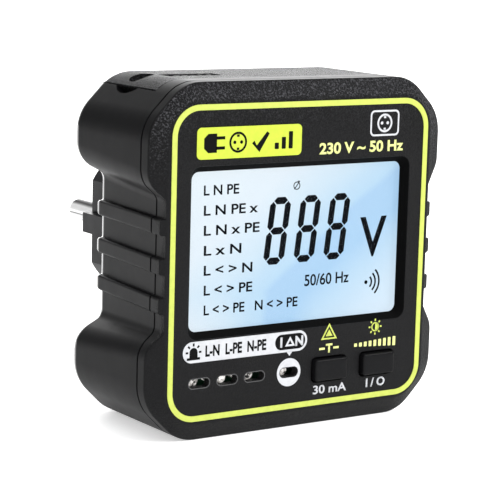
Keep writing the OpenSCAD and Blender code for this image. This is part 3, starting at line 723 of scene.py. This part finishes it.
def eye_cuts(shell):
    """The lanyard eyelet: a slot from above and a scoop from the side, under a small bar, and the
    fine witness line that runs along the bevel past it."""
    loop = rounded(EYE_LEN / 2, EYE_W / 2, EYE_W / 2 - 0.001, 10)
    slot = swept("eye_slot", [[(EYE_X + p.x * grow, EYE_Y + p.y * grow, z) for p in loop]
                              for z, grow in ((EYE_FLOOR_Z, 1.0), (33.6, 1.0), (HALF_H + 1, 1.12))])
    half = math.acos((SCOOP_R - SCOOP_H) / SCOOP_R)
    arc = [(SCOOP_R - SCOOP_R * math.cos(a), SCOOP_R * math.sin(a))
           for a in (half * (k / 8 - 1) for k in range(17))]
    scoop = swept("scoop", [[on_bevel(SCOOP_X, s, SCOOP_Y + y * grow, out) for s, y in arc]
                            for out, grow in ((-SCOOP_DEPTH, 0.55), (-0.6, 0.9), (0.8, 1.1))])
    groove = [(-0.16, -0.25), (0.0, -0.3), (0.16, -0.25), (0.24, 0.3), (-0.24, 0.3)]
    line = swept("witness", [[on_bevel(WITNESS_X, s, y, out) for s, out in groove]
                             for y in (WITNESS_START_Y, BACK_Y + 1)])
    ring = housing_outline(WITNESS_START_Y)
    turn = []
    for k, p in enumerate(ring):
        if p.y > 0 and WITNESS_X - 0.1 < p.x < -25.0:
            along = (ring[(k + 1) % len(ring)] - ring[k - 1]).normalized()
            out = Vector((along.y, -along.x)) if along.y * p.x > 0 else Vector((-along.y, along.x))
            deep = 0.3 if p.x < -26.5 else 0.12
            turn.append([(p.x + out.x * o, WITNESS_START_Y + dy, p.y + out.y * o)
                         for dy, o in ((-0.22, 0.3), (0.0, -deep), (0.22, 0.3))])
    for tool in (slot, scoop, line, swept("witness_turn", turn)):
        combine(shell, [tool], "DIFFERENCE")


def top_mark(shell):
    """A shallow recess in the top with a row of small raised blocks."""
    low, high = HALF_H - 0.75, HALF_H + 1
    loop = lambda x, y, w, d, z: [(x + p.x, y + p.y, z) for p in rounded(w, d, 0.3, 4)]
    recess = swept("mark_recess", [loop(MARK_X, MARK_Y, 6.4, 2.3, z) for z in (low, high)])
    combine(shell, [recess], "DIFFERENCE")
    blocks = [swept("block", [loop(MARK_X + 1.95 * k, MARK_Y - 0.6, 0.5 * g, 0.9 * g, z)
                              for z, g in ((low - 0.2, 1.0), (low + 0.6, 1.0), (low + 0.72, 0.8))])
              for k in range(-2, 3)]
    combine(shell, blocks, "UNION")


def build_rear_shell():
    shell = loft("rear_shell_body", shell_rings(), CASE_BLACK_PAINTED_GLINTS)
    inner = [(y, housing_outline(y, WALL, ribs=False)) for y in (SEAM_Y - 1, BACK_Y - BACK_T)]
    rebate = prism("rebate", housing_outline(SEAM_Y, 0.95, ribs=False), SEAM_Y - 1, LIP_END_Y + 0.05)
    combine(shell, [loft("hollow", inner), rebate], "DIFFERENCE")
    posts = [prism("post", disc(x, z, SHELL_POST_R), POST_SPLIT_Y + 0.05, BACK_Y - BACK_T + 0.4)
             for x, z in POSTS]
    lining_loop = [(-33.5, 28.6), (-22.4, 28.6), (-22.4, 35.4), (-27.5, 35.2), (-33.5, 29.2)]
    lining = swept("lining", [[(x, y, z) for x, z in lining_loop] for y in (14.3, 26.1)])
    combine(shell, posts + [lining], "UNION")
    cuts = [prism("bore", disc(x, z, SCREW_BORE_R, 24), POST_SPLIT_Y - 1, BACK_Y + 1) for x, z in POSTS]
    cuts.append(prism("plug_hole", disc(0, 0, PLUG_HOLE_R, 96), BACK_Y - 4, BACK_Y + 1))
    combine(shell, cuts, "DIFFERENCE")
    wells = [loft("well", [(BACK_Y - 4, disc(x, z, WELL_R)), (BACK_Y - 0.3, disc(x, z, WELL_R)),
                           (BACK_Y + 0.2, disc(x, z, WELL_R + 0.5))]) for x, z in POSTS]
    combine(shell, wells, "DIFFERENCE")
    eye_cuts(shell)
    top_mark(shell)
    smooth(shell)
    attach(shell, HOUSING)
    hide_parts("rear_shell")


def build_key(node, body):
    """Button cap with a softly domed, round-edged face, on its flange and stem."""
    low, high = span(node)
    x = KEYS[node]
    half_w, half_h = (high.x - low.x) / 2 - FLANGE_OUT, (high.z - low.z) / 2 - FLANGE_OUT
    front = low.y
    cap = lambda inset, r: rounded(half_w - inset, half_h - inset, r, 8, x, KEY_Z)
    edge = 0.4
    rings = [(front, cap(1.7, 0.2)), (front + 0.03, cap(0.9, 0.25))]
    for k in range(7):
        turn = math.pi / 2 * k / 6
        inset = edge * (1 - math.sin(turn)) + 0.12
        rings.append((front + 0.06 + edge * (1 - math.cos(turn)), cap(inset, KEY_R - inset)))
    rings.append((FLANGE_FRONT_Y, cap(0.0, KEY_R)))
    key = loft(node + "_cap", rings, KEY_BLACK)
    flange = prism("flange", rounded(half_w + FLANGE_OUT, half_h + FLANGE_OUT, KEY_R, 8, x, KEY_Z),
                   FLANGE_FRONT_Y, FLANGE_BACK_Y)
    stem = prism("stem", disc(x, KEY_Z, 1.5), 2.3, high.y)
    combine(key, [flange, stem], "UNION")
    smooth(key)
    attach(key, body)
    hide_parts(node)


build_front_cover()
build_rear_shell()
build_key("test_button", "test_key")
build_key("backlight_button", "backlight_key")


# ---------------------------------------------------------------------------------------------
# Printed legends and display segments: thin plates of ink
class Print:
    """A sheet of thin printed shapes on one plane, drawn in the panel's X and Z."""

    def __init__(self, name, material, plane, thickness, slot_name):
        self.name, self.material, self.slot_name = name, material, slot_name
        self.front, self.back = plane - thickness, plane + 0.01
        self.bm = bmesh.new()

    def shape(self, points):
        points = [Vector(p) for p in points]
        front = [self.bm.verts.new(at(p.x, self.front, p.y)) for p in points]
        back = [self.bm.verts.new(at(p.x, self.back, p.y)) for p in points]
        self.bm.faces.new(front)
        self.bm.faces.new(back)
        for k in range(len(points)):
            self.bm.faces.new((front[k - 1], front[k], back[k], back[k - 1]))

    def band(self, outer, inner):
        """A closed band between two outlines with the same number of points."""
        loops = [[self.bm.verts.new(at(p.x, y, p.y)) for p in ring]
                 for y in (self.front, self.back) for ring in (outer, inner)]
        for a, b in ((0, 1), (1, 3), (3, 2), (2, 0)):
            for k in range(len(outer)):
                self.bm.faces.new((loops[a][k - 1], loops[a][k], loops[b][k], loops[b][k - 1]))

    def stroke(self, points, width):
        """A line of constant width through points, mitred at its joints."""
        points = [Vector(p) for p in points]
        left, right = [], []
        for i, p in enumerate(points):
            a = points[max(i - 1, 0)]
            b = points[min(i + 1, len(points) - 1)]
            normal = Vector((-(b - a).y, (b - a).x)).normalized()
            if 0 < i < len(points) - 1:
                along = (p - a).normalized()
                normal /= max(0.5, normal.dot(Vector((-along.y, along.x))))
            left.append(p + normal * width / 2)
            right.append(p - normal * width / 2)
        self.shape(left + right[::-1])

    def arc(self, x, z, r, start, end, width, steps=12):
        self.stroke([(x + r * math.cos(math.radians(start + (end - start) * k / steps)),
                      z + r * math.sin(math.radians(start + (end - start) * k / steps)))
                     for k in range(steps + 1)], width)

    def ring(self, x, z, r, width, steps=36):
        self.band(disc(x, z, r, steps), disc(x, z, r - width, steps))

    def dot(self, x, z, r, steps=28):
        self.shape(disc(x, z, r, steps))

    def text(self, words, x, z, height, length=None, weight=0.0, centre=False):
        """Letters and digits of the built-in font, cap height given, fitted to a length."""
        curve = bpy.data.curves.new("words", "FONT")
        curve.body = words
        curve.size = 1.0
        curve.offset = weight
        holder = bpy.data.objects.new("words", curve)
        bpy.context.scene.collection.objects.link(holder)
        depsgraph = bpy.context.evaluated_depsgraph_get()
        flat = bpy.data.meshes.new_from_object(holder.evaluated_get(depsgraph))
        bpy.data.objects.remove(holder)
        xs = [v.co.x for v in flat.vertices]
        caps = 0.69
        tall = height / caps
        wide = tall if length is None else length / (max(xs) - min(xs))
        start = x - (max(xs) - min(xs)) * wide / 2 if centre else x
        letters = bmesh.new()
        letters.from_mesh(flat)
        bpy.data.meshes.remove(flat)
        for v in letters.verts:
            v.co = at(start + (v.co.x - min(xs)) * wide, self.front, z + v.co.y * tall - height / 2)
        solid = bmesh.ops.extrude_face_region(letters, geom=letters.faces[:])
        deep = (self.back - self.front) * MM
        bmesh.ops.translate(letters, vec=(0, deep, 0),
                            verts=[g for g in solid["geom"] if isinstance(g, bmesh.types.BMVert)])
        mesh = bpy.data.meshes.new("letters")
        letters.to_mesh(mesh)
        letters.free()
        self.bm.from_mesh(mesh)
        bpy.data.meshes.remove(mesh)

    def done(self):
        bmesh.ops.recalc_face_normals(self.bm, faces=self.bm.faces)
        mesh = bpy.data.meshes.new(self.name)
        self.bm.to_mesh(mesh)
        self.bm.free()
        obj = new_object(self.name, mesh, self.material)
        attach(obj, HOUSING)


def socket_face(sheet, x, z, r, width):
    """A round socket seen from the front: a ring, two contact holes and two earth bars."""
    sheet.ring(x, z, r, width)
    for side in (-1, 1):
        sheet.dot(x + side * r * 0.38, z, r * 0.17, 16)
        sheet.stroke([(x - r * 0.14, z + side * r * 0.62), (x + r * 0.14, z + side * r * 0.62)],
                     width)


def triangle(x, half, low, high):
    """A triangle that points up: its middle, half width, and the heights of base and tip."""
    return [Vector((x - half, low)), Vector((x, high)), Vector((x + half, low))]


# White legends
title = Print("title_legend", PALE_INK, 0.0, 0.03, "label_grey")
title.text("230 V ~ 50 Hz", 3.6, 21.95, 2.15, length=21.6, weight=0.03)
white = Print("white_legends", WHITE_INK, 0.0, 0.03, "label_grey")
BADGE_X, BADGE_Z = 20.15, 26.7
white.band(rounded(3.75, 2.7, 1.0, 6, BADGE_X, BADGE_Z), rounded(3.37, 2.32, 0.7, 6, BADGE_X, BADGE_Z))
socket_face(white, BADGE_X, BADGE_Z, 1.95, 0.42)
CAPSULE_Z = -17.6
white.shape(rounded(15.1, 2.15, 2.149, 12, -13.1, CAPSULE_Z))
white.shape([(-3.1, -19.7), (-1.6, -19.7), (-2.35, -20.6)])
leak_x, leak_w = LED_SLOTS[3]
white.band(disc(leak_x, LED_Z, 2.95, 48), slot_edge(leak_x, leak_w + 0.5, LED_SLOT_H + 0.5))
white.text("30 mA", 8.2, -28.55, 1.75, length=8.6, weight=0.02, centre=True)
white.text("I / O", 20.15, -28.45, 1.75, length=5.0, weight=0.03, centre=True)
white.done()

# Painted highlights: a light grey band round the first three LED slots stands for light caught on their
# edges.
slot_rim_highlights = Print("slot_rim_painted_highlights", plastic("rim_painted_highlight", (0.05, 0.05, 0.052), 0.25), 0.0, 0.02, "case_plastic")
for rim_x, rim_w in LED_SLOTS[:3]:
    slot_rim_highlights.band(slot_points(rim_x, rim_w + 0.48, LED_SLOT_H + 0.48),
              slot_points(rim_x, rim_w + 0.16, LED_SLOT_H + 0.16))
slot_rim_highlights.done()

# Dark marks on the white capsule
dark = Print("capsule_marks", DARK_INK, -0.03, 0.02, "component_black")
LAMP_X = -25.7
dark.stroke([(LAMP_X - 1.55, CAPSULE_Z - 1.3), (LAMP_X + 1.55, CAPSULE_Z - 1.3)], 0.5)
dark.shape([(LAMP_X - 0.95, CAPSULE_Z - 1.1)] +
           [(LAMP_X + 0.95 * math.cos(math.radians(a)), CAPSULE_Z + 0.95 * math.sin(math.radians(a)))
            for a in range(180, -1, -20)] + [(LAMP_X + 0.95, CAPSULE_Z - 1.1)])
for a in (0, 45, 90, 135, 180):
    c, s = math.cos(math.radians(a)), math.sin(math.radians(a))
    dark.stroke([(LAMP_X + 1.25 * c, CAPSULE_Z + 1.25 * s),
                 (LAMP_X + 1.85 * c, CAPSULE_Z + 1.85 * s)], 0.4)
dark.text("L-N  L-PE  N-PE", -22.9, CAPSULE_Z, 2.1, length=14.7, weight=0.035)
dark.shape(rounded(3.75, 1.62, 1.619, 12, -2.25, CAPSULE_Z))
dark.done()
tag = Print("capsule_tag", WHITE_INK, -0.05, 0.015, "label_grey")
tag.text("I", -4.5, CAPSULE_Z, 1.9, weight=0.045, centre=True)
tag.band(triangle(-2.3, 1.25, CAPSULE_Z - 0.95, CAPSULE_Z + 1.1),
         triangle(-2.3, 0.52, CAPSULE_Z - 0.55, CAPSULE_Z + 0.3))
tag.text("N", 0.0, CAPSULE_Z, 1.9, weight=0.045, centre=True)
tag.done()

# Yellow legends over the buttons
yellow = Print("yellow_legends", YELLOW, 0.0, 0.03, "accent_yellow")
TRI_X, TRI_Z = 7.6, -16.9
tri = lambda size: triangle(TRI_X, 2.05 * size, TRI_Z - 1.15 * size, TRI_Z + 2.25 * size)
yellow.band(tri(1.0), tri(0.72))
yellow.shape(tri(0.42))
title.text("T", 7.7, -19.95, 1.75, weight=0.045, centre=True)
for side in (-1, 1):
    title.stroke([(7.7 + side * 1.1, -19.95), (7.7 + side * 2.5, -19.95)], 0.45)
SUN_X, SUN_Z = 19.6, -16.5
yellow.ring(SUN_X, SUN_Z, 1.0, 0.26)
yellow.shape([(SUN_X + 0.86 * math.sin(math.radians(a)), SUN_Z + 0.86 * math.cos(math.radians(a)))
              for a in range(0, 181, 15)])
for k in range(8):
    c, s = math.cos(math.tau * k / 8), math.sin(math.tau * k / 8)
    yellow.stroke([(SUN_X + 1.25 * c, SUN_Z + 1.25 * s), (SUN_X + 1.7 * c, SUN_Z + 1.7 * s)], 0.34)
for k in range(9):
    title.shape(rounded(0.36, 0.35 + 0.08 * k, 0.1, 3, 14.6 + 1.27 * k, -20.0))
yellow.done()
title.done()

# Pictograms on the yellow plate: plug, socket, tick and level bars
plate = Print("plate_marks", DARK_INK, PLATE_LOW.y, 0.02, "component_black")
PX, PZ = PLATE_LOW.x, (PLATE_LOW.z + PLATE_HIGH.z) / 2
plate.shape([(PX + 1.6, PZ - 1.0), (PX + 2.6, PZ - 1.9), (PX + 4.6, PZ - 1.9), (PX + 4.6, PZ + 1.9),
             (PX + 2.6, PZ + 1.9), (PX + 1.6, PZ + 1.0)][::-1])
for side in (-1, 1):
    plate.stroke([(PX + 4.5, PZ + side * 1.0), (PX + 6.5, PZ + side * 1.0)], 0.62)
socket_face(plate, PX + 9.6, PZ, 2.1, 0.46)
plate.stroke([(PX + 13.2, PZ - 0.1), (PX + 14.4, PZ - 1.5), (PX + 16.8, PZ + 1.7)], 0.75)
for k in range(3):
    tall = 1.3 + 1.1 * k
    plate.shape(rounded(0.5, tall / 2, 0.15, 3, PX + 18.9 + 1.7 * k, PZ - 1.75 + tall / 2))
plate.done()

# Display segments
GLASS_Y = span("lcd_glass")[0].y
lcd = Print("display_segments", SEGMENT, GLASS_Y, 0.02, "component_black")
LEAN = math.tan(math.radians(7.0))


def digit(sheet, x, z, w, h, stroke):
    """A seven-segment figure eight that leans to the right."""
    gap = 0.16
    half = stroke / 2
    lean = lambda px, pz: (px + (pz - z) * LEAN, pz)

    def bar(x0, x1, pz):
        return [lean(x0, pz), lean(x0 + half, pz + half), lean(x1 - half, pz + half), lean(x1, pz),
                lean(x1 - half, pz - half), lean(x0 + half, pz - half)]

    def post(px, z0, z1):
        return [lean(px, z0), lean(px - half, z0 + half), lean(px - half, z1 - half), lean(px, z1),
                lean(px + half, z1 - half), lean(px + half, z0 + half)]

    top, bottom = z + h - half, z + half
    middle = z + h / 2
    left, right = x + half, x + w - half
    for pz in (top, middle, bottom):
        sheet.shape(bar(left + gap, right - gap, pz))
    for px in (left, right):
        sheet.shape(post(px, bottom + gap, middle - gap))
        sheet.shape(post(px, middle + gap, top - gap))


for k in range(3):
    digit(lcd, -7.75 + 7.55 * k, -1.8, 5.15, 13.85, 1.45)
lcd.text("V", 20.3, 2.45, 8.2, length=7.0, weight=0.016, centre=True)
lcd.text("50/60 Hz", 2.9, -5.75, 2.3, length=11.4, weight=0.016)
lcd.ring(0.25, 14.2, 0.85, 0.2)
lcd.stroke([(-0.35, 13.5), (0.95, 15.1)], 0.2)
lcd.stroke([(0.95, 15.1), (0.45, 15.1)], 0.2)
lcd.dot(18.9, -7.35, 0.42, 20)
for r in (1.45, 2.45, 3.45):
    lcd.arc(18.9, -7.35, r, -47, 47, 0.42)
ROWS = [("L N PE", 8.4), ("L N PE x", 13.0), ("L N x PE", 13.4), ("L x N", 9.0),
        ("L < > N", 11.7), ("L < > PE", 11.7), ("L < > PE   N < > PE", 23.0)]
for k, (words, length) in enumerate(ROWS):
    lcd.text(words, -22.3 + 0.1 * k, 14.35 - 4.05 * k, 1.95, length=length, weight=0.02)
lcd.done()


# ---------------------------------------------------------------------------------------------
# Stage, light and camera
def stage():
    bm = bmesh.new()
    bmesh.ops.create_grid(bm, x_segments=1, y_segments=1, size=4.0)
    floor = from_bmesh("floor", bm, None)
    mat, tree, bsdf = node_tree("pale_floor")
    tree.links.new(ramp(tree, noise(tree, 14.0), [(0.3, grey(0.86)), (0.7, grey(0.9))]),
                   bsdf.inputs["Base Color"])
    bsdf.inputs["Roughness"].default_value = 0.6
    bsdf.inputs["Emission Color"].default_value = (1, 1, 1, 1)
    bsdf.inputs["Emission Strength"].default_value = 0.5
    floor.data.materials.append(mat)


def area(name, place, target, size, power):
    data = bpy.data.lights.new(name, "AREA")
    data.shape = "RECTANGLE"
    data.size, data.size_y = size
    data.energy = power
    lamp = bpy.data.objects.new(name, data)
    lamp.location = place
    lamp.rotation_euler = (Vector(target) - Vector(place)).to_track_quat("-Z", "Y").to_euler()
    bpy.context.scene.collection.objects.link(lamp)


def light():
    """Dim surroundings that brighten behind the tester to the right, a soft box and a broad sky."""
    world = bpy.data.worlds.new("studio")
    world.use_nodes = True
    tree = world.node_tree
    place = tree.nodes.new("ShaderNodeSeparateXYZ")
    tree.links.new(tree.nodes.new("ShaderNodeTexCoord").outputs["Generated"], place.inputs["Vector"])
    toward = maths(tree, "ADD", maths(tree, "MULTIPLY", place.outputs["X"], 0.56),
                   maths(tree, "MULTIPLY", place.outputs["Y"], 0.83))
    facing = share(tree, toward, -1.0, 1.0)
    shade = ramp(tree, facing, [(0.0, grey(0.04)), (0.5, grey(0.028)), (0.86, grey(0.028)),
                                (0.97, grey(0.8)), (1.0, grey(1.0))])
    ceiling = ramp(tree, place.outputs["Z"], [(0.5, grey(0.0)), (0.7, grey(0.08)), (1.0, grey(0.1))])
    tree.links.new(maths(tree, "MAXIMUM", shade, ceiling), tree.nodes["Background"].inputs["Color"])
    tree.nodes["Background"].inputs["Strength"].default_value = 5.0
    bpy.context.scene.world = world
    bpy.context.scene.view_settings.view_transform = "Standard"
    middle = at(0, 15, 0)
    area("key", middle + Vector((0.46, -0.56, 0.46)), middle, (0.45, 0.3), 4.6)
    sky = bpy.data.lights.new("sky", "SUN")
    sky.energy = 2.5
    sky.angle = math.radians(110.0)
    lamp = bpy.data.objects.new("sky", sky)
    lamp.rotation_euler = Vector((0.2, 0.4, -1.0)).to_track_quat("-Z", "Y").to_euler()
    bpy.context.scene.collection.objects.link(lamp)


# Camera: the view direction in degrees, the distance from the panel's centre and the framing. The
# azimuth is a choice: it makes the visible pin 19 mm long. The best fit to the panel is -30.4.
AZIMUTH, ELEVATION, ROLL = -34.0, 9.37, 1.55
DISTANCE_MM, RIGHT_MM, UP_MM = 403.9, 10.59, -1.28
FOCAL_PX = 1974.3
FRAME_PX = 500.0
SENSOR_MM = 36.0


def camera():
    az, el, roll = (math.radians(a) for a in (AZIMUTH, ELEVATION, ROLL))
    back = Vector((math.sin(az) * math.cos(el), -math.cos(az) * math.cos(el), math.sin(el)))
    right = (-back).cross(Vector((0, 0, 1))).normalized()
    up = right.cross(-back)
    side = right * math.cos(roll) + up * math.sin(roll)
    rise = up * math.cos(roll) - right * math.sin(roll)
    data = bpy.data.cameras.new("camera")
    data.sensor_width = SENSOR_MM
    data.lens = FOCAL_PX * SENSOR_MM / FRAME_PX
    data.clip_start, data.clip_end = 0.01, 20.0
    cam = bpy.data.objects.new("camera", data)
    place = at(0, 0, 0) + (back * DISTANCE_MM - side * RIGHT_MM - rise * UP_MM) * MM
    cam.matrix_world = Matrix.Translation(place) @ Matrix((side, rise, back)).transposed().to_4x4()
    bpy.context.scene.collection.objects.link(cam)
    bpy.context.scene.camera = cam


stage()
light()
camera()
